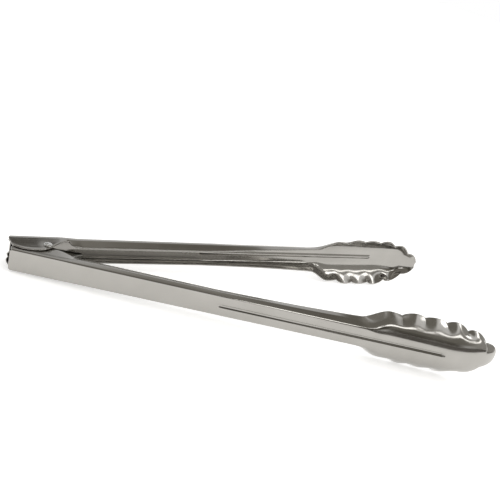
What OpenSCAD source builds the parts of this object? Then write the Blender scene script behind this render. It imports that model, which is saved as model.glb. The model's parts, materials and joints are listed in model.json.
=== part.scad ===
// Spring loaded kitchen tongs, lying on their side with the arms sprung open.
// Each arm is one stamped channel: pivot ears, a flat grip, a ribbed neck and a scalloped scoop.
// Arm coordinates: r runs from the pivot to the tip, n from the pivot to the back of the web,
// z across the width. "depth" is measured from the back of the web towards the other arm.

/* [Overall] */
// Distance from the pivot axis to the tip of a scoop
tip_r = 286.5; // [280:0.5:292]
// Distance from the pivot axis to the outer face of each web
pivot_h = 12.25; // [12:0.05:13]
// Angle between the open arms
opening = 24.2; // [18:0.1:26]
// Thickness of the steel sheet
sheet = 0.9; // [0.7:0.05:1]

/* [Hinge] */
// Outer half-width over the outer arm's ears
outer_ear_half = 8.1; // [8.1:0.05:8.5]
// Outer half-width over the inner arm's ears
inner_ear_half = 7.1; // [6.8:0.05:7.1]
// Distance from the pivot to the back end of the outer arm
outer_end = 20.4; // [19:0.1:21]
// Distance from the pivot to the back end of the inner arm
inner_end = 18.4; // [17:0.1:20]
// Depth of the outer ears at their deepest
outer_ear_depth = 17.8; // [17:0.1:18.5]
// Depth of the inner ears at their deepest
inner_ear_depth = 16.2; // [15.5:0.1:17]
// Depth of the notch between an outer ear and the grip flange
outer_notch_depth = 5.9; // [5:0.1:8]
// Distance that the middle of the outer arm's web is cut back at its end
end_recess = 1.2; // [0:0.1:2]

/* [Grip and neck] */
// Half-width of the web along the grip
grip_half = 6.9; // [6.5:0.1:7.1]
// Half-width at the crease along the grip's flanges
grip_crease_half = 7.5; // [7.2:0.1:7.6]
// Half-width at the free edges of the grip, which lean inwards
grip_rim_half = 5.5; // [5:0.1:6.5]
// Depth of the grip flanges
grip_depth = 9.6; // [8.5:0.1:10]
// Half-width of the web along the neck
neck_half = 6.7; // [6.3:0.1:6.9]
// Half-width at the crease where the neck ends
neck_crease_half = 8.3; // [7.8:0.1:8.5]
// Depth of the neck flanges
neck_depth = 8.8; // [8:0.1:9.5]
// Depth of the groove of the stiffening rib
rib_h = 0.6; // [0.4:0.1:0.9]
// Half-width of the stiffening rib
rib_half = 1.7; // [1.5:0.1:2]

/* [Scoop] */
// Half-width of the flat floor of a scoop
floor_half = 7; // [6.5:0.1:7.5]
// Distance from the pivot to the notch before the second lobe
first_notch_r = 217; // [216:0.5:218]
// Spacing of the lobes
lobe_pitch = 14.8; // [14.5:0.1:14.9]
// Depth of a scoop's side rim
scoop_depth = 9.9; // [9.5:0.1:10.5]
// Outward bow of a scoop's walls
wall_sag = 1.35; // [1:0.05:1.5]
// Depth of a scoop at its tip
tip_depth = 12.1; // [11.5:0.1:12.1]

/* [Rivet and spring] */
// Diameter of the rivet's shank
rivet_d = 3.2; // [3:0.1:3.4]
// Diameter of the rivet's formed heads
rivet_head_d = 5; // [4.6:0.1:5.2]
// Height of the rivet's formed heads
rivet_head_h = 1.1; // [0.9:0.1:1.2]
// Diameter of the spring wire
wire_d = 1.4; // [1.2:0.1:1.5]
// Mean radius of the spring coil
coil_r = 2.8; // [2.7:0.05:2.9]
// Distance along an arm to the end of a spring leg
leg_r = 24; // [20:1:28]

/* [Hidden] */

// Half-widths at the peaks of the five side lobes, and at the notches after them
lobe_half = [16.9, 18.9, 19, 19, 15.6];
notch_half = [16, 17.6, 17.4, 15, 9.6];
lobe_steps = 7;
tip_steps = 6;
end_half = 0.6;
tip_power = 2.3;
lobe_power = 0.8;

// The evened-out outline that the walls of a scoop follow below their lobes
bowl_half = 18.3;
bowl_widest_r = 238;
bowl_power = 2.6;
bowl_root = 0.7;
bowl_end_r = 215;

// Where one stretch of an arm turns into the next
ear_peak_r = -7.5;
ear_end_depth = 8.6;
ears_end_r = 8;
outer_runout_r = 14;
inner_runout_r = 17;
flange_start_r = 14;
flange_rise = 5;
grip_start_r = 22;
grip_end_r = 100;
neck_start_r = 130;
neck_level_r = 160;
crease_spread_r = 105;
crease_end_r = 184;
rib_start_r = 103;
rib_end_r = 250;
rib_ramp = 3.5;
bowl_start_r = 186;
flare_start_r = 192;
neck_end_r = 182;
curl_start_r = 248;

// Ears: half-width of the web between them, depth of the crease, lean inwards per mm of depth
outer_web_half = 7.6;
inner_web_half = 7;
grip_crease_depth = 3.7;
inner_crease_depth = 3;
inner_lean = 0.068;

// Spread of the neck's free edges, depth of its crease, and legs of the bends
neck_spread = 4.5;
spread_length = 100;
spread_power = 1.3;
neck_crease_depth = 4.6;
grip_leg = 1.4;
neck_leg = 1.7;
crease_leg = 0.8;

// Depth of the rim at the last notch, and how far round its curl the floor goes
last_notch_depth = 11;
curl = 0.94;

// Where the cut at the end of the outer web starts and stops, across and along it
recess_half = 3.2;
recess_corner_half = 4.4;
recess_web_half = outer_web_half - grip_leg;
recess_fade = 8;
first_peak_r = first_notch_r - lobe_pitch / 2;
last_notch_r = first_notch_r + 4 * lobe_pitch;
tip_lobe_r = last_notch_r - 5;

// Running and seating clearances round the rivet
running_gap = 0.05;
seat_gap = 0.02;

half_open = opening / 2;
rivet_tip_z = outer_ear_half + rivet_head_h;

// The tongs rest on the lower rivet head and on the second lobe of each scoop
lobe2_r = first_notch_r + lobe_pitch / 2;
lobe2_x = lobe2_r * cos(half_open) - (pivot_h - scoop_depth) * sin(half_open);
tilt = atan((lobe_half[1] - rivet_tip_z) / lobe2_x);
tip_x = tip_r * cos(half_open) * cos(tilt);
end_x = -(outer_end * cos(half_open) + pivot_h * sin(half_open)) * cos(tilt)
    - outer_ear_half * sin(tilt);
centre_x = (tip_x + end_x) / 2;

function mix(a, b, t) = a + (b - a) * t;
function clamp01(x) = max(0, min(1, x));
function smooth(a, b, x) = let (t = clamp01((x - a) / (b - a))) t * t * (3 - 2 * t);
function arc(t) = sqrt(1 - pow(clamp01(t), 2));
function unit(v) = v / norm(v);

// Half-width of the web at its corners
function web_half(r, outer) = let (
    ear = outer ? outer_web_half : inner_web_half,
    grip = mix(ear, grip_half, smooth(ears_end_r, grip_start_r, r)),
    neck = mix(grip, neck_half, smooth(grip_end_r, neck_start_r, r)),
    scoop = mix(neck, floor_half, smooth(flare_start_r, first_notch_r, r)))
    r < last_notch_r - lobe_pitch ? scoop : min(scoop, mean_rim_half(r, outer) / 2);

// Half-width at the free edges of the shaft, which spread from the grip to the scoop
function shaft_rim_half(r, outer) = let (
    ear = outer ? outer_ear_half
        : inner_ear_half - inner_lean * (rim_depth(r, outer) - inner_crease_depth))
    mix(ear, grip_rim_half, smooth(ears_end_r, grip_start_r, r))
    + neck_spread * pow(clamp01((r - grip_end_r) / spread_length), spread_power);

// Crease along a flange of the shaft, as [half-width, depth]
function crease(r, outer) = let (
    ear = outer ? [outer_ear_half, grip_crease_depth] : [inner_ear_half, inner_crease_depth],
    grip = mix(ear, [grip_crease_half, grip_crease_depth], smooth(ears_end_r, grip_start_r, r)))
    mix(grip, [neck_crease_half, neck_crease_depth],
        clamp01((r - crease_spread_r) / (crease_end_r - crease_spread_r)));

// Half-width at the free edges with the lobes and notches evened out
function mean_rim_half(r, outer) = let (
    run = clamp01((r - bowl_widest_r) / (tip_r + 1 - bowl_widest_r)),
    bowl = bowl_half * pow(1 - pow(run, bowl_power), bowl_root),
    side = mix(shaft_rim_half(r, outer), bowl, smooth(flare_start_r, bowl_end_r, r)))
    r < tip_lobe_r ? side
        : mix(side, rim_half(r, outer), smooth(tip_lobe_r, last_notch_r + 3, r));

// Swelling of a lobe, from 0 at its notches to 1 at its peak
function bulge(t) = pow(max(0, sin(180 * t)), lobe_power);

// Half-width of one side lobe, where t goes from 0 to 1 between its notches
function lobe(k, t) = let (before = notch_half[k - 1], after = notch_half[k])
    mix(before, after, t) + (lobe_half[k] - (before + after) / 2) * bulge(t);

// Half-width at the free edges: shaft, rise to the first lobe, side lobes, tip lobe
function rim_half(r, outer) =
    r <= first_peak_r ? mix(shaft_rim_half(r, outer), lobe_half[0],
        smooth(flare_start_r, first_peak_r, r))
    : r <= first_notch_r ? mix(notch_half[0], lobe_half[0],
        bulge(0.5 + (r - first_peak_r) / lobe_pitch))
    : r < last_notch_r ? let (s = (r - first_notch_r) / lobe_pitch, k = floor(s)) lobe(k + 1, s - k)
    : let (t = clamp01((r - last_notch_r) / (tip_r - last_notch_r)))
        max(end_half, notch_half[4] * sqrt(1 - pow(t, tip_power)));

// Depth of an ear, rounded at the back end and running out towards the grip
function ear_depth(r, end, deepest, after, runout) =
    r < ear_peak_r ? mix(ear_end_depth, deepest, arc((ear_peak_r - r) / (end + ear_peak_r)))
    : mix(deepest, after, smooth(ear_peak_r + 2, runout, r));

// Depth at the free edges
function rim_depth(r, outer) = let (
    ear = outer ? ear_depth(r, outer_end, outer_ear_depth, outer_notch_depth, outer_runout_r)
        : ear_depth(r, inner_end, inner_ear_depth, grip_depth, inner_runout_r),
    grip = mix(ear, grip_depth, arc(1 - (r - flange_start_r) / flange_rise)),
    neck = mix(grip, neck_depth, smooth(grip_end_r, neck_level_r, r)),
    side = mix(neck, scoop_depth, smooth(neck_end_r, first_peak_r, r)),
    end = mix(side, last_notch_depth, clamp01((r - first_peak_r) / (last_notch_r - first_peak_r))))
    mix(end, tip_depth, pow(clamp01((r - last_notch_r) / (tip_r - last_notch_r)), 2));

// Depth of the floor, which curls up towards the tip
function floor_depth(r) = let (s = curl * clamp01((r - curl_start_r) / (tip_r - curl_start_r)))
    (tip_depth - 0.1) * (1 - sqrt(1 - s * s)) / (1 - sqrt(1 - curl * curl));

// Depth of the rib's groove in the back of the web
function rib(r, z) = rib_h * smooth(rib_start_r, rib_start_r + rib_ramp, r)
    * (1 - smooth(rib_end_r - rib_ramp, rib_end_r, r)) * (1 + cos(180 * min(1, z / rib_half))) / 2;

// Point at t on the bend from one straight stretch to the next, round a corner
function bend(before, corner, after, t) =
    (1 - t) * (1 - t) * before + 2 * t * (1 - t) * corner + t * t * after;

// Half of the outer profile at r, as [z, depth] from the middle of the web to the free edge
function half_profile(r, outer) = let (
    floor_d = floor_depth(r),
    corner = [web_half(r, outer), floor_d],
    rim = [rim_half(r, outer), rim_depth(r, outer)],
    mean_rim = [mean_rim_half(r, outer), rim_depth(r, outer)],
    wall = unit(mean_rim - corner),
    bowl = smooth(bowl_start_r, first_peak_r, r),
    bow = 2 * wall_sag * (1 - smooth(tip_lobe_r, tip_r - 3, r)),
    ridge = mix(crease(r, outer), (corner + mean_rim) / 2 + bow * [wall[1], -wall[0]], bowl),
    low = norm(ridge - corner),
    high = norm(rim - ridge),
    leg = mix(grip_leg, neck_leg, smooth(grip_end_r, neck_start_r, r)),
    wall_leg = min(leg, low / 3),
    flat_end = corner - [min(leg, corner[0] / 2), 0],
    wall_start = mix(corner, ridge, wall_leg / low),
    ridge_start = mix(ridge, corner, mix(min(crease_leg, 0.6 * low), 0.9 * (low - wall_leg), bowl) / low),
    ridge_end = mix(ridge, rim, mix(min(crease_leg, 0.6 * high), 0.9 * high, bowl) / high),
    rib_z = min(rib_half, flat_end[0] / 2))
    concat([for (z = [0, rib_z / 2, rib_z]) [z, floor_d + rib(r, z)]],
        [for (z = [recess_half, recess_corner_half]) [z * flat_end[0] / recess_web_half, floor_d]],
        [for (t = [0, 0.5, 1]) bend(flat_end, corner, wall_start, t)],
        [for (i = [0:3]) bend(ridge_start, ridge, ridge_end, i / 3)],
        [rim]);

// How far a point of the outer arm's web is moved forward, in the cut at its end
function cut_back(r, p) = end_recess * (1 - smooth(recess_half, recess_corner_half, p[0]))
    * (1 - clamp01((r + outer_end) / recess_fade)) * (p[1] < sheet ? 1 : 0);

// The whole outer profile at r, as points from the upper free edge to the lower one
function profile(r, outer) = let (
    half = [for (p = half_profile(r, outer)) [r + (outer ? cut_back(r, p) : 0), p[1], p[0]]],
    last = len(half) - 1)
    concat([for (i = [last:-1:1]) [half[i][0], pivot_h - half[i][1], half[i][2]]],
        [for (p = half) [p[0], pivot_h - p[1], -p[2]]]);

// Stations along an arm: ears, grip, neck, lobes, tip
function stations(end) = concat(
    [for (i = [0:5]) mix(-end, ear_peak_r, 1 - cos(15 * i))],
    [-4, 0, 4, ears_end_r, 11, 13, 14, 14.5, 15.5, 17, 19, grip_start_r],
    [60, grip_end_r, rib_start_r, rib_start_r + rib_ramp, 118, neck_start_r, 145, 160, 175, bowl_start_r],
    [for (i = [0:3]) mix(flare_start_r, first_peak_r, i / 4)],
    [for (i = [0:3]) mix(first_peak_r, first_notch_r, i / 4)],
    [for (k = [0:3]) for (i = [0:lobe_steps - 1]) first_notch_r + lobe_pitch * (k + i / lobe_steps)],
    [for (i = [0:tip_steps]) mix(last_notch_r, tip_r, sin(90 * i / tip_steps))]);

// A grid of points thickened into a closed sheet, towards the side that the other arm is on
function inner_face(grid, thick) = let (rows = len(grid), cols = len(grid[0]))
    [for (i = [0:rows - 1]) [for (j = [0:cols - 1]) let (
        along = grid[min(i + 1, rows - 1)][j] - grid[max(i - 1, 0)][j],
        across = grid[i][min(j + 1, cols - 1)] - grid[i][max(j - 1, 0)])
        grid[i][j] + thick * unit(cross(across, along))]];

module sheet_solid(outer_grid, thick) {
    rows = len(outer_grid);
    cols = len(outer_grid[0]);
    inner_grid = inner_face(outer_grid, thick);
    points = concat([for (row = outer_grid) each row], [for (row = inner_grid) each row]);
    inner = rows * cols;
    // Quads of the two faces, then of the long edges, then of the two ends
    quads = concat(
        [for (i = [0:rows - 2]) for (j = [0:cols - 2]) let (a = i * cols + j)
            [a, a + 1, a + cols + 1, a + cols]],
        [for (i = [0:rows - 2]) for (j = [0:cols - 2]) let (a = inner + i * cols + j)
            [a, a + cols, a + cols + 1, a + 1]],
        [for (i = [0:rows - 2]) let (a = i * cols)
            [a, a + cols, inner + a + cols, inner + a]],
        [for (i = [0:rows - 2]) let (a = i * cols + cols - 1)
            [a, inner + a, inner + a + cols, a + cols]],
        [for (j = [0:cols - 2]) [j, inner + j, inner + j + 1, j + 1]],
        [for (j = [0:cols - 2]) let (a = (rows - 1) * cols + j)
            [a, a + 1, inner + a + 1, inner + a]]);
    triangles = [for (q = quads) each [[q[0], q[2], q[1]], [q[0], q[3], q[2]]]];
    polyhedron(points = points, faces = triangles, convexity = 10);
}

// One arm in its own coordinates, with its web on the +Y side
module arm(end, outer, bore_r) {
    grid = [for (r = stations(end)) profile(r, outer)];
    difference() {
        sheet_solid(grid, sheet);
        cylinder(r = bore_r, h = 3 * outer_ear_half, center = true, $fn = 48);
    }
}

// From the pivot's frame, with its axis along Z, to the part's own frame
module placed() {
    translate([-centre_x, 0, rivet_tip_z * cos(tilt)])
        rotate([0, -tilt, 0])
            children();
}

module outer_arm() {
    color([0.78, 0.77, 0.75])
        placed()
            rotate([0, 0, half_open])
                arm(outer_end, true, rivet_d / 2 + seat_gap);
}

module inner_arm() {
    color([0.8, 0.79, 0.77])
        placed()
            rotate([0, 0, -half_open])
                mirror([0, 1, 0])
                    arm(inner_end, false, rivet_d / 2 + running_gap);
}

// Low domed head, standing on z = 0
module rivet_head() {
    dome_r = (rivet_head_d * rivet_head_d / 4 + rivet_head_h * rivet_head_h) / (2 * rivet_head_h);
    intersection() {
        translate([0, 0, rivet_head_h - dome_r])
            sphere(r = dome_r, $fn = 64);
        cylinder(d = rivet_head_d, h = rivet_head_h, $fn = 48);
    }
}

module pivot_rivet() {
    color([0.86, 0.86, 0.85])
        placed() {
            cylinder(d = rivet_d, h = 2 * outer_ear_half, center = true, $fn = 48);
            for (side = [0, 1])
                mirror([0, 0, side])
                    translate([0, 0, outer_ear_half])
                        rivet_head();
        }
}

// Torsion spring: a coil round the rivet, and a leg that bears on the web of each arm
coil_gap = 0.1;
coil_turns = 6;
wire_sides = 8;
leg_end_n = pivot_h - sheet - wire_d / 2 - coil_gap;
leg_reach = norm([leg_r, leg_end_n]);
leg_angle = half_open + atan2(leg_end_n, leg_r);
tangent_angle = leg_angle + acos(coil_r / leg_reach);
sweep = 360 * coil_turns - 2 * tangent_angle;
coil_rings = 84;
coil_rise = (wire_d + coil_gap) * sweep / 360;

function leg_end(side) = leg_reach * [cos(side * leg_angle), sin(side * leg_angle)];
function coil_point(t) = let (angle = tangent_angle + sweep * t)
    [coil_r * cos(angle), coil_r * sin(angle), coil_rise * (t - 0.5)];
function ring(centre, ahead, radius) = let (side = unit(cross(ahead, [0, 0, 1])), up = cross(side, ahead))
    [for (i = [0:wire_sides - 1]) let (turn = 360 * i / wire_sides)
        centre + radius * (cos(turn) * side + sin(turn) * up)];

module wire(path, radius) {
    last = len(path) - 1;
    rings = [for (i = [0:last])
        ring(path[i], unit(path[min(i + 1, last)] - path[max(i - 1, 0)]), radius)];
    points = [for (one = rings) each one];
    sides = [for (i = [0:last - 1]) for (j = [0:wire_sides - 1]) let (
        a = wire_sides * i + j,
        b = wire_sides * i + (j + 1) % wire_sides)
        each [[a, b, b + wire_sides], [a, b + wire_sides, a + wire_sides]]];
    ends = [[for (j = [wire_sides - 1:-1:0]) j], [for (j = [0:wire_sides - 1]) wire_sides * last + j]];
    polyhedron(points = points, faces = concat(sides, ends), convexity = 20);
}

module torsion_spring() {
    coil = [for (i = [0:coil_rings]) coil_point(i / coil_rings)];
    bottom = [leg_end(1)[0], leg_end(1)[1], -coil_rise / 2];
    top = [leg_end(-1)[0], leg_end(-1)[1], coil_rise / 2];
    color([0.6, 0.6, 0.6])
        placed()
            wire(concat([bottom], coil, [top]), wire_d / 2);
}

outer_arm();
inner_arm();
pivot_rivet();
torsion_spring();
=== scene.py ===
"""Spring loaded kitchen tongs, lying on their side with the arms sprung open.

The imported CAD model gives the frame: the pivot, its axis and the two bodies. This script builds the
finished sheet metal, rivet and spring on it, with their materials, and a plain studio round them.
Arm coordinates are in millimetres: r from the pivot towards the tip, n from the pivot to the back of
the web, z across the width. "depth" is measured from the back of the web towards the other arm.
"""

import json
import math

import bmesh
import bpy
import numpy as np
from mathutils import Matrix, Vector

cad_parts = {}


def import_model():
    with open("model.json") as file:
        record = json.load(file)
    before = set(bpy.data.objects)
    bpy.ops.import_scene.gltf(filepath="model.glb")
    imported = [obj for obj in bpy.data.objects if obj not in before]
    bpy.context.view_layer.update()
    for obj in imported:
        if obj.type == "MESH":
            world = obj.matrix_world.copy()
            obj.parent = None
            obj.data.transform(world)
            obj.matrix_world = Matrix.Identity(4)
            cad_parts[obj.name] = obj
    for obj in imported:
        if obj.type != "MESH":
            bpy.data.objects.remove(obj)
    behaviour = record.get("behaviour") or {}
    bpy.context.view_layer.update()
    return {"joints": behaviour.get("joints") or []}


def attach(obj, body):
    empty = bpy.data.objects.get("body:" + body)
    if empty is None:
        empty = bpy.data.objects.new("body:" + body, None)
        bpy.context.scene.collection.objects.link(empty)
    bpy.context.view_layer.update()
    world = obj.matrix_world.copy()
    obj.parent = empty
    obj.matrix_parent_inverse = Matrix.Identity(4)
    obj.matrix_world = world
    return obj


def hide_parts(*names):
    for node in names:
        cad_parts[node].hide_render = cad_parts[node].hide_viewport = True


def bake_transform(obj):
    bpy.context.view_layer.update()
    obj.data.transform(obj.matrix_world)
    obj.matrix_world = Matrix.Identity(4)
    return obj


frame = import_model()

MM = 0.001
TAU = 2 * math.pi

# ---------------------------------------------------------------- dimensions, in mm, as in the CAD
TIP_R = 286.5
PIVOT_H = 12.25
OPENING = 24.2
SHEET = 0.9
# lean: how far an ear leans inwards for each mm of depth
OUTER = {"ear_half": 8.1, "end": 20.4, "ear_depth": 17.8, "notch": 5.9, "runout": 14, "web_half": 7.6,
         "fold_depth": 3.7, "lean": 0.0, "recess": 1.2, "dish": 0.22}
INNER = {"ear_half": 7.1, "end": 18.4, "ear_depth": 16.2, "notch": 9.6, "runout": 17, "web_half": 7.0,
         "fold_depth": 3.0, "lean": 0.068, "recess": 0.0, "dish": 0.0}
GRIP_HALF, GRIP_RIM_HALF, GRIP_DEPTH = 6.9, 5.5, 9.6
GRIP_FOLD_HALF, GRIP_FOLD_DEPTH = 7.5, 3.7
FLANGE_START_R, FLANGE_RISE = 14, 5
NECK_HALF, NECK_DEPTH = 6.7, 8.8
NECK_FOLD_HALF, NECK_FOLD_DEPTH = 8.3, 4.6
NECK_LEVEL_R, FOLD_SPREAD_R, FOLD_SPREAD_LENGTH = 160, 105, 79
NECK_SPREAD, NECK_SPREAD_POWER, NECK_LENGTH = 4.5, 1.3, 100.0
RIB_H, RIB_HALF = 0.6, 1.7
FLOOR_HALF = 7.0
FIRST_NOTCH_R, LOBE_PITCH = 217.0, 14.8
SCOOP_DEPTH, LAST_NOTCH_DEPTH, TIP_DEPTH = 9.9, 11.0, 12.1
# Half-widths at the peaks of the five side lobes, and at the notches after them
LOBE_HALF = [16.9, 18.9, 19.0, 19.0, 15.6]
NOTCH_HALF = [16.0, 17.6, 17.4, 15.0, 9.6]
LOBE_POWER, TIP_POWER = 0.8, 2.3
END_HALF = 0.6
BOWL_HALF, BOWL_WIDEST_R, BOWL_POWER, BOWL_ROOT = 18.3, 238.0, 2.6, 0.7
EAR_PEAK_R, EAR_END_DEPTH = -7.5, 8.6
EARS_END_R, GRIP_START_R, GRIP_END_R, NECK_START_R = 8.0, 22.0, 100.0, 130.0
RIB_START_R, RIB_END_R, RIB_RAMP = 103.0, 250.0, 3.5
FLARE_START_R, CURL_START_R = 192.0, 248.0
CURL = 0.94
FIRST_PEAK_R = FIRST_NOTCH_R - LOBE_PITCH / 2
LAST_NOTCH_R = FIRST_NOTCH_R + 4 * LOBE_PITCH
TIP_LOBE_R = LAST_NOTCH_R - 5
RIVET_D, RIVET_HEAD_D, RIVET_HEAD_H = 3.2, 5.0, 1.1
SEAT_GAP, RUNNING_GAP = 0.02, 0.05
WIRE_D, COIL_R, COIL_GAP, COIL_TURNS, LEG_R = 1.4, 2.8, 0.1, 6, 24.0

# ---------------------------------------------------------------- the frame's pivot
squeeze = frame["joints"][0]
pivot = Vector(squeeze["pos_m"])
pivot_axis = Vector(squeeze["axis"]).normalized()
# Matrix from the pivot's own frame in mm (Z along its axis, X towards the scoops) to the row frame in m
axis_y = Vector((0, 1, 0))
axis_x = axis_y.cross(pivot_axis).normalized()
TO_ROW = Matrix.Translation(pivot) @ Matrix((axis_x, axis_y, pivot_axis)).transposed().to_4x4() \
    @ Matrix.Scale(MM, 4)


def camera():
    """The photograph's viewpoint: from the inner arm's side, above the pivot end, rolled clockwise."""
    heading, pitch, roll = math.radians(21.14), math.radians(23.61), math.radians(18.98)
    forward = Vector((math.sin(heading) * math.cos(pitch), math.cos(heading) * math.cos(pitch),
                      -math.sin(pitch)))
    level = Vector((math.cos(heading), -math.sin(heading), 0))
    upright = level.cross(forward)
    right = math.cos(roll) * level + math.sin(roll) * upright
    up = right.cross(forward)
    lens = bpy.data.cameras.new("camera")
    lens.sensor_width = 36
    lens.lens = 49.37
    eye = bpy.data.objects.new("camera", lens)
    eye.matrix_world = Matrix.Translation((-0.1512, -0.3694, 0.2103)) @ \
        Matrix((right, up, -forward)).transposed().to_4x4()
    bpy.context.scene.collection.objects.link(eye)
    bpy.context.scene.camera = eye


# ---------------------------------------------------------------- shape of an arm
def mix(a, b, t):
    return a + (b - a) * t


def clamp01(x):
    return max(0.0, min(1.0, x))


def smooth(a, b, x):
    t = clamp01((x - a) / (b - a))
    return t * t * (3 - 2 * t)


def clamp_all(x):
    return np.clip(x, 0.0, 1.0)


def smooth_all(a, b, x):
    t = clamp_all((x - a) / (b - a))
    return t * t * (3 - 2 * t)


def arc(t):
    return math.sqrt(1 - clamp01(t) ** 2)


def unit(v):
    return v / np.maximum(np.linalg.norm(v, axis=-1, keepdims=True), 1e-9)


def bulge(t):
    """Swelling of a lobe, from 0 at its notches to 1 at its peak."""
    return max(0.0, math.sin(math.pi * t)) ** LOBE_POWER


def soft_bulge(t):
    """The same swelling with a rounded valley at the notches, as on the wall below the free edge."""
    return (1 - math.cos(TAU * t)) / 2


def lobe_place(r):
    """Which side lobe r is in, and how far through it, from 0 to 1 between its notches."""
    s = (r - FIRST_NOTCH_R) / LOBE_PITCH + 1
    k = min(4, max(0, math.floor(s)))
    return k, clamp01(s - k)


def shaft_rim_half(r, arm):
    ear = arm["ear_half"] - arm["lean"] * (rim_depth(r, arm) - arm["fold_depth"])
    return mix(ear, GRIP_RIM_HALF, smooth(EARS_END_R, GRIP_START_R, r)) \
        + NECK_SPREAD * clamp01((r - GRIP_END_R) / NECK_LENGTH) ** NECK_SPREAD_POWER


def rim_half(r, arm, swell=bulge):
    """Half-width at the free edges: shaft, rise to the first lobe, side lobes, tip lobe."""
    if r <= FIRST_PEAK_R:
        return mix(shaft_rim_half(r, arm), LOBE_HALF[0], smooth(FLARE_START_R, FIRST_PEAK_R, r))
    if r <= FIRST_NOTCH_R:
        return mix(NOTCH_HALF[0], LOBE_HALF[0], swell(0.5 + (r - FIRST_PEAK_R) / LOBE_PITCH))
    if r < LAST_NOTCH_R:
        k, t = lobe_place(r)
        before, after = NOTCH_HALF[k - 1], NOTCH_HALF[k]
        return mix(before, after, t) + (LOBE_HALF[k] - (before + after) / 2) * swell(t)
    t = clamp01((r - LAST_NOTCH_R) / (TIP_R - LAST_NOTCH_R))
    return max(END_HALF, NOTCH_HALF[4] * math.sqrt(1 - t ** TIP_POWER))


def mean_rim_half(r, arm):
    """Half-width at the free edges with the lobes and notches evened out."""
    run = clamp01((r - BOWL_WIDEST_R) / (TIP_R + 1 - BOWL_WIDEST_R))
    bowl = BOWL_HALF * (1 - run ** BOWL_POWER) ** BOWL_ROOT
    side = mix(shaft_rim_half(r, arm), bowl, smooth(FLARE_START_R, FIRST_PEAK_R + 5, r))
    return mix(side, rim_half(r, arm), smooth(TIP_LOBE_R, LAST_NOTCH_R + 3, r))


def fold(r, arm):
    """Half-width and depth of the crease that runs along a flange of the shaft."""
    ear = np.array([arm["ear_half"], arm["fold_depth"]])
    grip = mix(ear, np.array([GRIP_FOLD_HALF, GRIP_FOLD_DEPTH]), smooth(EARS_END_R, GRIP_START_R, r))
    spread = clamp01((r - FOLD_SPREAD_R) / FOLD_SPREAD_LENGTH)
    return mix(grip, np.array([NECK_FOLD_HALF, NECK_FOLD_DEPTH]), spread)


def web_half(r, arm):
    grip = mix(arm["web_half"], GRIP_HALF, smooth(EARS_END_R, GRIP_START_R, r))
    neck = mix(grip, NECK_HALF, smooth(GRIP_END_R, NECK_START_R, r))
    scoop = mix(neck, FLOOR_HALF, smooth(FLARE_START_R, FIRST_NOTCH_R, r))
    if r < LAST_NOTCH_R - LOBE_PITCH:
        return scoop
    return min(scoop, mean_rim_half(r, arm) / 2)


def rim_depth(r, arm):
    """Depth at the free edges: ear, notch, grip flange, neck flange, scoop, tip."""
    if r < EAR_PEAK_R:
        ear = mix(EAR_END_DEPTH, arm["ear_depth"], arc((EAR_PEAK_R - r) / (arm["end"] + EAR_PEAK_R)))
    else:
        ear = mix(arm["ear_depth"], arm["notch"], smooth(EAR_PEAK_R + 2, arm["runout"], r))
    grip = mix(ear, GRIP_DEPTH, arc(1 - (r - FLANGE_START_R) / FLANGE_RISE))
    neck = mix(grip, NECK_DEPTH, smooth(GRIP_END_R, NECK_LEVEL_R, r))
    side = mix(neck, SCOOP_DEPTH, smooth(FLARE_START_R - 10, FIRST_PEAK_R, r))
    deep = mix(side, LAST_NOTCH_DEPTH, clamp01((r - FIRST_PEAK_R) / (LAST_NOTCH_R - FIRST_PEAK_R)))
    return mix(deep, TIP_DEPTH, clamp01((r - LAST_NOTCH_R) / (TIP_R - LAST_NOTCH_R)) ** 2)


def floor_depth(r):
    """Depth of the middle of the web: flat, then curled up at the tip along an ellipse."""
    s = CURL * clamp01((r - CURL_START_R) / (TIP_R - CURL_START_R))
    end_gap = 0.1
    return (TIP_DEPTH - end_gap) * (1 - math.sqrt(1 - s * s)) / (1 - math.sqrt(1 - CURL ** 2))


def rib(r, z):
    ramp = smooth(RIB_START_R, RIB_START_R + RIB_RAMP, r) * (1 - smooth(RIB_END_R - RIB_RAMP, RIB_END_R, r))
    return RIB_H * ramp * (1 + math.cos(math.pi * min(1.0, z / RIB_HALF))) / 2


# How far the walls of a scoop bow outwards, and where the shaft's crease runs out into them
SAG = 1.35
BOWL_START_R, BOWL_FULL_R = 186, 209.6
# How far the bend between web and wall reaches into each of them: along the grip, neck and scoop
WEB_LEGS, WALL_LEGS = (1.4, 1.9, 4.2), (1.4, 1.6, 2.4)
CREASE_LEG = 0.8
# The coined facet along the neck's corner
FACET_START_R, FACET_FULL_R, FACET_FADE_R, FACET_END_R, FACET_ROUND = 104.0, 112.0, 194.0, 206.0, 0.2
FACET_WEB_LEG, FACET_WALL_LEG = 0.61, 0.57
# The cut back end of the outer web, between rounded corners
RECESS_FADE, RECESS_HALF, RECESS_CORNER_HALF = 8.0, 3.2, 4.4
CORNER_CUT, CORNER_HALF, CORNER_END_HALF, CORNER_DEPTH = 0.8, 5.2, 6.6, 2.5
EAR_BULGE, EAR_BULGE_HALF, EAR_BULGE_FULL_HALF = 0.6, 7.0, 7.6
DISH_R = 3.6
FLAT_STEPS, BEND_STEPS, WALL_STEPS, RIB_STEPS = 4, 8, 5, 9


def bend_points(before, corner, after, steps):
    """Points round a bend, from where it leaves one straight stretch to where it meets the next."""
    return [(1 - t) ** 2 * before + 2 * t * (1 - t) * corner + t * t * after
            for t in np.linspace(0, 1, steps + 1)]


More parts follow.
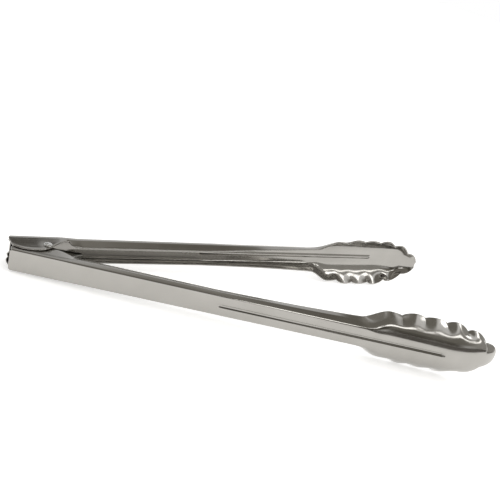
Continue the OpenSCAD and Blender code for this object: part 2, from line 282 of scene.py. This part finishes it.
def half_profile(r, arm):
    """Half of the outer face's profile at r, as (z, depth) from the middle of the web to the free edge."""
    floor_d = floor_depth(r)
    corner = np.array([web_half(r, arm), floor_d])
    rim = np.array([rim_half(r, arm), rim_depth(r, arm)])
    # Below the free edge the flutes between the lobes are soft valleys, and they fade towards the floor
    soft_rim = np.array([rim_half(r, arm, soft_bulge), rim[1]])
    mean_rim = np.array([mean_rim_half(r, arm), rim[1]])
    wall = unit(mean_rim - corner)
    soft_rim, rim = soft_rim - wall * SHEET / 2, rim - wall * SHEET / 2
    # The shaft's crease runs out into the bowl of the scoop, whose walls are bowed outwards
    bowl = smooth(BOWL_START_R, BOWL_FULL_R, r)
    tip = smooth(LAST_NOTCH_R - 6, TIP_R - 3, r)
    outward = np.array([wall[1], -wall[0]])
    bowed = mix(corner, mean_rim, 0.5) + outward * 2 * SAG * (1 - tip)
    crease = mix(fold(r, arm), bowed, bowl)
    low, high = np.linalg.norm(crease - corner), np.linalg.norm(soft_rim - crease)
    neck = smooth(GRIP_END_R, NECK_START_R, r)
    web_leg, wall_leg = (mix(mix(grip_leg, neck_leg, neck), scoop_leg, bowl)
                         for grip_leg, neck_leg, scoop_leg in (WEB_LEGS, WALL_LEGS))
    web_leg, wall_leg = min(web_leg, corner[0] / 2), min(wall_leg, 0.35 * low)
    # A short fold along the shaft widens in the scoop until its curve takes up nearly the whole wall
    reach, most = smooth(0, 1, bowl), 0.97
    low_leg = mix(min(CREASE_LEG, 0.6 * low), most * (low - wall_leg), reach)
    high_leg = mix(min(CREASE_LEG, 0.6 * high), most * high, reach)
    wall_start = mix(corner, crease, wall_leg / low)
    turn = bend_points(corner - np.array([web_leg, 0]), corner, wall_start, BEND_STEPS)
    # Along the neck the corner is coined to a narrow facet
    coined = smooth(FACET_START_R, FACET_FULL_R, r) * (1 - smooth(FACET_FADE_R, FACET_END_R, r))
    if coined > 0:
        one, two = corner - np.array([FACET_WEB_LEG, 0]), mix(corner, crease, FACET_WALL_LEG / low)
        facet = bend_points(one - np.array([FACET_ROUND, 0]), one, mix(one, two, 0.2), 3)
        facet += bend_points(mix(one, two, 0.8), two, mix(two, crease, FACET_ROUND / low), 4)
        turn = [mix(a, b, coined) for a, b in zip(turn, facet)]
    flat_end, wall_start = turn[0], turn[-1]
    crease_start = mix(crease, corner, low_leg / low)
    crease_end = mix(crease, soft_rim, high_leg / high)
    rib_z = min(RIB_HALF, flat_end[0] / 2)
    points = [np.array((z, floor_d + rib(r, z))) for z in np.linspace(0, rib_z, RIB_STEPS)]
    points += [np.array((z, floor_d)) for z in np.linspace(rib_z, flat_end[0], FLAT_STEPS)[1:]]
    points += turn[1:]
    flange = [mix(wall_start, crease_start, f) for f in (0.5, 1)]
    flange += bend_points(crease_start, crease, crease_end, 2 * BEND_STEPS)[1:]
    flange += [mix(crease_end, soft_rim, f) for f in np.linspace(0, 1, WALL_STEPS + 1)[1:]]
    run = np.cumsum([0] + [np.linalg.norm(b - a) for a, b in zip([wall_start] + flange, flange)])[1:]
    # Only the last stretch of the wall follows the sharp notches of the free edge
    sharpness = 6
    points += [p + (rim - soft_rim) * f ** sharpness for p, f in zip(flange, run / run[-1])]
    return [tuple(p) for p in points]


def profile(r, arm):
    """The whole outer profile at r, from one free edge to the other, in the arm's coordinates."""
    half = half_profile(r, arm)
    return [(r, PIVOT_H - d, z) for z, d in reversed(half[1:])] + [(r, PIVOT_H - d, -z) for z, d in half]


def stations(arm):
    """Where along an arm its profile is taken: closer together where it changes faster."""
    start, stop = -arm["end"] + SHEET / 2, TIP_R - SHEET / 2
    rows = [mix(start, EAR_PEAK_R, 1 - math.cos(t)) for t in np.linspace(0, math.pi / 2, 14)[:-1]]
    rows += list(np.arange(EAR_PEAK_R, 13.5, 0.9))
    rows += [FLANGE_START_R + FLANGE_RISE * (1 - math.cos(t)) for t in np.linspace(0, math.pi / 2, 9)]
    rows += list(np.arange(19.7, GRIP_START_R, 0.7))
    rows += list(np.linspace(GRIP_START_R, GRIP_END_R, 14))
    rows += list(np.arange(RIB_START_R, RIB_START_R + RIB_RAMP, 0.5))
    rows += list(np.arange(108, FLARE_START_R, 3.0))
    rows += list(np.arange(FLARE_START_R, FIRST_PEAK_R, 1.0))
    rows += [FIRST_PEAK_R + LOBE_PITCH / 2 * math.sin(t) for t in np.linspace(0, math.pi / 2, 8)[:-1]]
    for k in range(4):
        rows += [FIRST_NOTCH_R + LOBE_PITCH * (k + (1 - math.cos(t)) / 2)
                 for t in np.linspace(0, math.pi, 19)[:-1]]
    rows += [mix(LAST_NOTCH_R, stop, math.sin(t) ** 1.15) for t in np.linspace(0, math.pi / 2, 26)]
    return sorted(rows)


EDGE_STEPS = 6


def sheet_mesh(name, grid, thick, side):
    """A closed sheet: the outer face's grid of points, an inner face, and a rounded edge all round."""
    rows, cols = grid.shape[:2]
    along = np.gradient(grid, axis=0)
    across = np.gradient(grid, axis=1)
    inward = side * unit(np.cross(across, along))
    inner = grid + thick * inward
    loop = [(i, 0) for i in range(rows)] + [(rows - 1, j) for j in range(1, cols)] \
        + [(i, cols - 1) for i in range(rows - 2, -1, -1)] + [(0, j) for j in range(cols - 2, 0, -1)]
    loop_i, loop_j = np.array(loop).T
    edge, edge_in = grid[loop_i, loop_j], inward[loop_i, loop_j]
    tangent = np.roll(edge, -1, axis=0) - np.roll(edge, 1, axis=0)
    outward = unit(np.cross(edge_in, tangent))
    inside = grid[np.clip(loop_i, 1, rows - 2), np.clip(loop_j, 1, cols - 2)]
    flip = np.sign(np.sum(outward * (edge - inside), axis=1, keepdims=True))
    outward = outward * np.where(flip == 0, 1, flip)
    rings = []
    for k in range(1, EDGE_STEPS):
        turn = math.pi * k / EDGE_STEPS
        rings.append(edge + thick / 2 * (edge_in * (1 - math.cos(turn)) + outward * math.sin(turn)))
    points = np.concatenate([grid.reshape(-1, 3), inner.reshape(-1, 3)] + rings)
    count = rows * cols
    faces = []
    for i in range(rows - 1):
        for j in range(cols - 1):
            a = i * cols + j
            faces.append((a, a + cols, a + cols + 1, a + 1))
            faces.append((count + a, count + a + 1, count + a + cols + 1, count + a + cols))
    around = len(loop)
    lines = [[i * cols + j for i, j in loop]]
    lines += [[2 * count + ring * around + m for m in range(around)] for ring in range(len(rings))]
    lines += [[count + i * cols + j for i, j in loop]]
    for one, two in zip(lines, lines[1:]):
        for m in range(around):
            nxt = (m + 1) % around
            faces.append((one[m], one[nxt], two[nxt], two[m]))
    return mesh_object(name, points, faces)


def mesh_object(name, points, faces):
    """A mesh object from points in the row frame, in metres, with its faces turned outwards."""
    mesh = bpy.data.meshes.new(name)
    mesh.from_pydata([tuple(p) for p in points], [], faces)
    work = bmesh.new()
    work.from_mesh(mesh)
    bmesh.ops.recalc_face_normals(work, faces=work.faces)
    work.to_mesh(mesh)
    work.free()
    mesh.shade_smooth()
    obj = bpy.data.objects.new(name, mesh)
    bpy.context.scene.collection.objects.link(obj)
    return obj


def to_row(points, matrix=TO_ROW):
    """Points in mm, in the frame that matrix comes from, as an array in the row frame."""
    flat = np.asarray(points, float)
    m = np.array(matrix)
    return flat @ m[:3, :3].T + m[:3, 3]


def lathe(name, outline, steps=64):
    """A solid of revolution about the pivot axis, from (radius, z) points that start and end on it."""
    points = [(0, 0, outline[0][1]), (0, 0, outline[-1][1])]
    rings = outline[1:-1]
    for radius, z in rings:
        points += [(radius * math.cos(TAU * i / steps), radius * math.sin(TAU * i / steps), z)
                   for i in range(steps)]
    faces = []
    for i in range(steps):
        nxt = (i + 1) % steps
        faces.append((0, 2 + nxt, 2 + i))
        for k in range(len(rings) - 1):
            a, b = 2 + k * steps, 2 + (k + 1) * steps
            faces.append((a + i, a + nxt, b + nxt, b + i))
        last = 2 + (len(rings) - 1) * steps
        faces.append((1, last + i, last + nxt))
    return mesh_object(name, to_row(points), faces)


def drill(obj, radius, half_length):
    """Cuts the pivot's bore through an arm's ears."""
    cutter = lathe("cutter", [(0, -half_length), (radius, -half_length), (radius, half_length),
                              (0, half_length)], 48)
    cut = obj.modifiers.new("bore", "BOOLEAN")
    cut.operation = "DIFFERENCE"
    cut.solver = "EXACT"
    cut.object = cutter
    depsgraph = bpy.context.evaluated_depsgraph_get()
    drilled = bpy.data.meshes.new_from_object(obj.evaluated_get(depsgraph))
    obj.modifiers.clear()
    obj.data = drilled
    bpy.data.objects.remove(cutter)
    drilled.set_sharp_from_angle(angle=math.radians(50))


def arm_piece(name, arm, side, bore_r):
    """One arm. side is 1 for the arm on the +Y side of the middle line and -1 for the other."""
    grid = np.array([profile(r, arm) for r in stations(arm)])
    # The middle of the outer arm's web is cut back at the hinge end, between two corner tabs
    depth, width = PIVOT_H - grid[..., 1], np.abs(grid[..., 2])
    near_end = 1 - clamp_all((grid[..., 0] + arm["end"]) / RECESS_FADE)
    middle = 1 - smooth_all(RECESS_HALF, RECESS_CORNER_HALF, width)
    grid[..., 0] += arm["recess"] * near_end * middle * (depth < SHEET)
    # Both sheets' corners are rounded off there, and the outer ears' ends bulge a little
    corner = smooth_all(CORNER_HALF, CORNER_END_HALF, width) * (1 - smooth_all(0, CORNER_DEPTH, depth))
    curve = smooth_all(EAR_BULGE_HALF, EAR_BULGE_FULL_HALF, width) \
        * np.sin(math.pi * clamp_all(depth / EAR_END_DEPTH))
    grid[..., 0] += near_end * (CORNER_CUT * corner - EAR_BULGE * curve * (arm["recess"] > 0))
    # The outer ears are dished a little where the rivet pulls on them
    spread = np.hypot(grid[..., 0], grid[..., 1]) / DISH_R
    on_ear = smooth_all(arm["web_half"] - 0.2, arm["ear_half"] - 0.05, np.abs(grid[..., 2]))
    grid[..., 2] -= np.sign(grid[..., 2]) * arm["dish"] * on_ear * np.exp(-spread ** 2)
    turn = Matrix.Rotation(side * math.radians(OPENING / 2), 4, "Z")
    mirror = Matrix.Diagonal((1, side, 1, 1))
    # The grid is made in metres first, so that the sheet's thickness is too
    obj = sheet_mesh(name, to_row(grid, TO_ROW @ turn @ mirror), SHEET * MM, side)
    drill(obj, bore_r, 1.5 * arm["ear_half"])
    return obj


# ---------------------------------------------------------------- rivet and spring
def rivet_piece():
    """One rivet: a shank, and a low domed head with a rounded skirt at each end."""
    top = OUTER["ear_half"]
    head_r, skirt = RIVET_HEAD_D / 2, 0.3
    dome = [(head_r * math.sin(t), skirt + (RIVET_HEAD_H - skirt) * math.cos(t))
            for t in np.linspace(0, math.pi / 2, 14)]
    upper = [(x, top + z) for x, z in dome] + [(head_r - 0.08, top + 0.05), (head_r - 0.2, top - 0.1),
                                               (RIVET_D / 2, top - 0.1)]
    outline = upper + [(x, -z) for x, z in reversed(upper)]
    obj = lathe("rivet", outline)
    obj.data.set_sharp_from_angle(angle=math.radians(40))
    return obj


def tube(name, path, radius, sides=20):
    """A round wire along a path, with rounded ends."""
    path = np.asarray(path, float)
    ahead = unit(np.gradient(path, axis=0))
    side = unit(np.cross(ahead, np.array([0, 0, 1.0])))
    up = np.cross(side, ahead)
    spin = np.linspace(0, TAU, sides, endpoint=False)
    circle = np.cos(spin)[None, :, None] * side[:, None] + np.sin(spin)[None, :, None] * up[:, None]
    rings = [path[0] - ahead[0] * radius * math.cos(t) + circle[0] * radius * math.sin(t)
             for t in (0.3, 0.8, 1.2)]
    rings += list(path[:, None] + radius * circle)
    rings += [path[-1] + ahead[-1] * radius * math.cos(t) + circle[-1] * radius * math.sin(t)
              for t in (1.2, 0.8, 0.3)]
    faces = [tuple(range(sides))]
    for k in range(len(rings) - 1):
        for i in range(sides):
            nxt = (i + 1) % sides
            faces.append((k * sides + i, k * sides + nxt, (k + 1) * sides + nxt, (k + 1) * sides + i))
    faces.append(tuple((len(rings) - 1) * sides + i for i in range(sides)))
    return mesh_object(name, to_row(np.concatenate(rings)), faces)


def spring_piece():
    """The torsion spring: a coil round the rivet and a leg along the web of each arm.
    Returns it with the height of its coil."""
    end_n = PIVOT_H - SHEET - WIRE_D / 2 - COIL_GAP
    reach = math.hypot(LEG_R, end_n)
    leg_angle = math.radians(OPENING / 2) + math.atan2(end_n, LEG_R)
    tangent = leg_angle + math.acos(COIL_R / reach)
    sweep = TAU * COIL_TURNS - 2 * tangent
    rise = (WIRE_D + COIL_GAP) * sweep / TAU
    path = []
    steps = 330
    for i in range(steps + 1):
        turn = tangent + sweep * i / steps
        path.append((COIL_R * math.cos(turn), COIL_R * math.sin(turn), rise * (i / steps - 0.5)))
    for side, at in ((1, 0), (-1, -1)):
        start, height = np.array(path[at]), -side * rise / 2
        end = np.array([reach * math.cos(leg_angle), side * reach * math.sin(leg_angle), height])
        leg = [mix(start, end, f) for f in np.linspace(0, 1, 12)[1:]]
        path = leg[::-1] + path if side == 1 else path + leg
    return tube("torsion_spring_wire", path, WIRE_D / 2), rise


# ---------------------------------------------------------------- materials
class Nodes:
    """Short names for building one node material."""

    def __init__(self, name):
        self.material = bpy.data.materials.new(name)
        self.material.use_nodes = True
        self.tree = self.material.node_tree
        self.shader = self.tree.nodes["Principled BSDF"]

    def add(self, kind, inputs=None, **settings):
        node = self.tree.nodes.new(kind)
        for key, value in settings.items():
            setattr(node, key, value)
        for key, value in (inputs or {}).items():
            if isinstance(value, bpy.types.NodeSocket):
                self.tree.links.new(value, node.inputs[key])
            else:
                node.inputs[key].default_value = value
        return node

    def ramp(self, factor, stops):
        node = self.add("ShaderNodeValToRGB", {"Fac": factor})
        while len(node.color_ramp.elements) < len(stops):
            node.color_ramp.elements.new(1)
        for element, (place, colour) in zip(node.color_ramp.elements, stops):
            element.position = place
            element.color = (*colour, 1)
        return node.outputs["Color"]

    def span(self, factor, low, high, new_low, new_high):
        return self.add("ShaderNodeMapRange", {"Value": factor, "From Min": low, "From Max": high,
                                               "To Min": new_low, "To Max": new_high}).outputs["Result"]


def steel(name, heading, dark, light, rough=(0.10, 0.20), grain=1.0):
    """Polished stainless sheet: lengthwise drawn lines, soft clouding, small handling marks."""
    n = Nodes(name)
    place = n.add("ShaderNodeTexCoord").outputs["Object"]
    tilt = math.atan2(-pivot_axis.x, pivot_axis.z)
    level = n.add("ShaderNodeMapping", {"Vector": place, "Rotation": (0, tilt, 0)})
    turned = n.add("ShaderNodeMapping", {"Vector": level.outputs[0], "Rotation": (0, 0, -heading)})
    lines = n.add("ShaderNodeMapping", {"Vector": turned.outputs[0], "Scale": (0.02, 1, 1)})
    fine = n.add("ShaderNodeTexNoise", {"Vector": lines.outputs[0], "Scale": 4200, "Detail": 3})
    broad = n.add("ShaderNodeTexNoise", {"Vector": lines.outputs[0], "Scale": 900, "Detail": 4})
    cloud = n.add("ShaderNodeTexNoise", {"Vector": place, "Scale": 38, "Detail": 5, "Roughness": 0.6})
    marks = n.add("ShaderNodeTexNoise", {"Vector": place, "Scale": 420, "Detail": 2})
    colour = n.ramp(cloud.outputs["Fac"], [(0.3, dark), (0.7, light)])
    n.tree.links.new(colour, n.shader.inputs["Base Color"])
    worn = n.add("ShaderNodeMath", {0: cloud.outputs["Fac"], 1: broad.outputs["Fac"]}, operation="MULTIPLY")
    n.tree.links.new(n.span(worn.outputs[0], 0.12, 0.4, *rough), n.shader.inputs["Roughness"])
    rough_lines = n.add("ShaderNodeBump", {"Height": fine.outputs["Fac"], "Strength": 0.10 * grain,
                                           "Distance": 0.00002})
    soft_marks = n.add("ShaderNodeBump", {"Height": marks.outputs["Fac"], "Strength": 0.05 * grain,
                                          "Distance": 0.00005, "Normal": rough_lines.outputs["Normal"]})
    n.tree.links.new(soft_marks.outputs["Normal"], n.shader.inputs["Normal"])
    n.shader.inputs["Metallic"].default_value = 1
    return n.material


def wire_steel():
    """Drawn spring wire, a little darker, with soft clouding and fine bumps."""
    n = Nodes("spring_wire")
    place = n.add("ShaderNodeTexCoord").outputs["Object"]
    cloud = n.add("ShaderNodeTexNoise", {"Vector": place, "Scale": 260, "Detail": 4})
    colour = n.ramp(cloud.outputs["Fac"], [(0.3, (0.30, 0.29, 0.28)), (0.7, (0.44, 0.43, 0.41))])
    n.tree.links.new(colour, n.shader.inputs["Base Color"])
    n.tree.links.new(n.span(cloud.outputs["Fac"], 0.3, 0.7, 0.25, 0.4), n.shader.inputs["Roughness"])
    bump = n.add("ShaderNodeBump", {"Height": cloud.outputs["Fac"], "Strength": 0.08, "Distance": 0.0001})
    n.tree.links.new(bump.outputs["Normal"], n.shader.inputs["Normal"])
    n.shader.inputs["Metallic"].default_value = 1
    return n.material


def paper():
    """The plain pale floor."""
    n = Nodes("pale_floor")
    place = n.add("ShaderNodeTexCoord").outputs["Object"]
    cloud = n.add("ShaderNodeTexNoise", {"Vector": place, "Scale": 3, "Detail": 2})
    colour = n.ramp(cloud.outputs["Fac"], [(0.3, (0.93, 0.93, 0.93)), (0.7, (0.95, 0.95, 0.95))])
    n.tree.links.new(colour, n.shader.inputs["Base Color"])
    n.shader.inputs["Roughness"].default_value = 0.9
    n.shader.inputs["Specular IOR Level"].default_value = 0.1
    n.shader.inputs["Emission Color"].default_value = (1, 1, 1, 1)
    n.shader.inputs["Emission Strength"].default_value = 0.45
    return n.material


# ---------------------------------------------------------------- studio
def floor():
    """The pale surface that the tongs lie on, so wide that its edge is out of the photograph's view."""
    half = 30.0
    obj = mesh_object("floor", [(-half, -half, 0), (half, -half, 0), (half, half, 0), (-half, half, 0)],
                      [(0, 1, 2, 3)])
    obj.data.materials.append(paper())


def world():
    """The surroundings that the steel reflects: a pale horizon, and greys and patches above it.
    Directions are unit vectors, so z is 0 at the horizon and 1 overhead."""
    sky = bpy.data.worlds.new("studio")
    sky.use_nodes = True
    tree = sky.node_tree

    def add(kind, inputs, **settings):
        node = tree.nodes.new(kind)
        for key, value in settings.items():
            setattr(node, key, value)
        for key, value in inputs.items():
            if isinstance(value, bpy.types.NodeSocket):
                tree.links.new(value, node.inputs[key])
            else:
                node.inputs[key].default_value = value
        return node

    def ramp(value, stops):
        node = add("ShaderNodeValToRGB", {"Fac": value})
        while len(node.color_ramp.elements) < len(stops):
            node.color_ramp.elements.new(1)
        for element, (spot, grey) in zip(node.color_ramp.elements, stops):
            element.position = spot
            element.color = tinted(grey)
        return node.outputs["Color"]

    def times(one, two):
        return add("ShaderNodeMath", {0: one, 1: two}, operation="MULTIPLY").outputs[0]

    def tinted(grey):
        warm = 1 - clamp01((grey - 0.1) / 0.6)
        return (grey, grey * (1 - 0.07 * warm), grey * (1 - 0.22 * warm), 1)

    def step(value, low, high):
        node = add("ShaderNodeMapRange", {"Value": value, "From Min": low, "From Max": high})
        return node.outputs["Result"]

    def blend(factor, one, two):
        node = add("ShaderNodeMix", {"Factor": factor}, data_type="RGBA")
        for socket, value in (("A", one), ("B", two)):
            target = next(i for i in node.inputs if i.name == socket and i.type == "RGBA")
            if isinstance(value, bpy.types.NodeSocket):
                tree.links.new(value, target)
            else:
                target.default_value = value
        return next(o for o in node.outputs if o.type == "RGBA")

    place = add("ShaderNodeTexCoord", {})
    split = add("ShaderNodeSeparateXYZ", {0: place.outputs["Generated"]})
    x, y, z = (split.outputs[axis] for axis in "XYZ")
    behind = ramp(z, [(0.0, 1.0), (0.05, 1.0), (0.08, 0.75), (1.0, 0.72)])
    front = ramp(z, [(0.0, 1.0), (0.05, 0.95), (0.16, 0.8), (0.26, 0.27), (1.0, 0.29)])
    # Overhead it is brightest over the hinge end and grows darker towards the scoops
    lean = add("ShaderNodeMath", {0: y, 1: -0.3, 2: x}, operation="MULTIPLY_ADD").outputs[0]
    overhead = ramp(step(lean, -0.3, 0.3), [(0.0, 0.36), (0.12, 0.8), (0.17, 0.8), (0.3, 0.4), (0.55, 0.38),
                                            (0.73, 0.22), (1.0, 0.26)])
    behind = blend(step(z, 0.66, 0.72), behind, overhead)
    colour = blend(step(y, -0.2, 0.2), front, behind)
    colour = blend(step(x, 0.45, 0.6), colour, tinted(0.5))
    # A dark band at middle height, on the hinge end's side
    band = times(step(x, 0.05, 0.0), times(step(z, 0.30, 0.36), step(z, 0.57, 0.50)))
    colour = blend(band, colour, tinted(0.10))
    # The room beyond the table is dark low in front of the scoops
    low_front = times(step(x, 0.04, 0.10), times(step(y, -0.86, -0.93), step(z, 0.36, 0.30)))
    colour = blend(low_front, colour, tinted(0.14))
    # A pale patch high over the scoops shows inside the rear channel and on the lobes
    colour = blend(times(step(lean, 0.34, 0.42), step(z, 0.76, 0.82)), colour, tinted(1.15))
    # Past the floor's edge the camera sees plain white
    seen = add("ShaderNodeLightPath", {}).outputs["Is Camera Ray"]
    colour = blend(seen, colour, tinted(1.0))
    tree.links.new(colour, tree.nodes["Background"].inputs["Color"])
    bpy.context.scene.world = sky


def soft_top_light():
    """Even light on the floor from the whole ceiling; it is too wide to show in the steel."""
    light = bpy.data.lights.new("ceiling", "SUN")
    light.angle = math.radians(150)
    light.energy = 1.3
    obj = bpy.data.objects.new("ceiling", light)
    obj.visible_glossy = False
    bpy.context.scene.collection.objects.link(obj)


def softbox(name, direction, distance, width, height, radiance):
    """A level softbox in a direction from the scoops, of a brightness that doesn't depend on its size."""
    aim = Vector((0.1, 0, 0))
    light = bpy.data.lights.new(name, "AREA")
    light.shape = "RECTANGLE"
    light.size = width
    light.size_y = height
    light.energy = radiance * math.pi * width * height
    obj = bpy.data.objects.new(name, light)
    obj.location = aim + Vector(direction).normalized() * distance
    obj.rotation_euler = (aim - obj.location).to_track_quat("-Z", "Y").to_euler()
    bpy.context.scene.collection.objects.link(obj)


def table_edge():
    """A dark card on the floor for the dark beyond a table's front edge. The camera can't see it: it
    shows only as a reflection in the steel, along the front scoop."""
    left, right, near, far, height = 0.04, 2.0, -0.125, -3.0, 0.0005
    obj = mesh_object("table_edge", [(left, near, height), (right, near, height), (right, far, height),
                                     (left, far, height)], [(0, 1, 2, 3)])
    n = Nodes("dark_room")
    place = n.add("ShaderNodeTexCoord").outputs["Object"]
    cloud = n.add("ShaderNodeTexNoise", {"Vector": place, "Scale": 2, "Detail": 1})
    n.tree.links.new(n.ramp(cloud.outputs["Fac"], [(0.3, (0.13, 0.12, 0.11)), (0.7, (0.15, 0.14, 0.13))]),
                     n.shader.inputs["Base Color"])
    n.shader.inputs["Roughness"].default_value = 0.9
    obj.data.materials.append(n.material)
    obj.visible_camera = obj.visible_diffuse = obj.visible_shadow = False


def studio():
    floor()
    table_edge()
    world()
    soft_top_light()
    softbox("front", (0.023, -0.76, 0.65), 1.1, 0.38, 0.14, 3.2)
    softbox("middle", (0.394, -0.604, 0.693), 1.23, 0.42, 0.13, 3.0)
    softbox("right", (0.70, -0.42, 0.59), 1.1, 0.62, 0.11, 2.8)
    softbox("upper_right", (0.63, -0.10, 0.77), 1.1, 0.26, 0.26, 3.0)


# ---------------------------------------------------------------- build
camera()
studio()

outer_arm = arm_piece("outer_arm_sheet", OUTER, 1, RIVET_D / 2 + SEAT_GAP)
outer_arm.data.materials.append(steel("outer_arm_steel", math.radians(OPENING / 2),
                                      (0.35, 0.338, 0.316), (0.40, 0.388, 0.366)))
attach(outer_arm, "outer_arm")
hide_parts("outer_arm")

inner_arm = arm_piece("inner_arm_sheet", INNER, -1, RIVET_D / 2 + RUNNING_GAP)
inner_arm.data.materials.append(steel("inner_arm_steel", -math.radians(OPENING / 2),
                                      (0.355, 0.343, 0.321), (0.405, 0.393, 0.371)))
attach(inner_arm, "inner_arm")
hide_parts("inner_arm")

rivet = rivet_piece()
rivet.data.materials.append(steel("rivet_steel", 0.0, (0.66, 0.66, 0.65), (0.74, 0.74, 0.73),
                                  rough=(0.08, 0.18), grain=0.6))
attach(rivet, "outer_arm")
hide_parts("pivot_rivet")

spring, coil_rise = spring_piece()
spring.data.materials.append(wire_steel())
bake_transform(spring)
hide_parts("torsion_spring")

bpy.context.scene.view_settings.view_transform = "Standard"
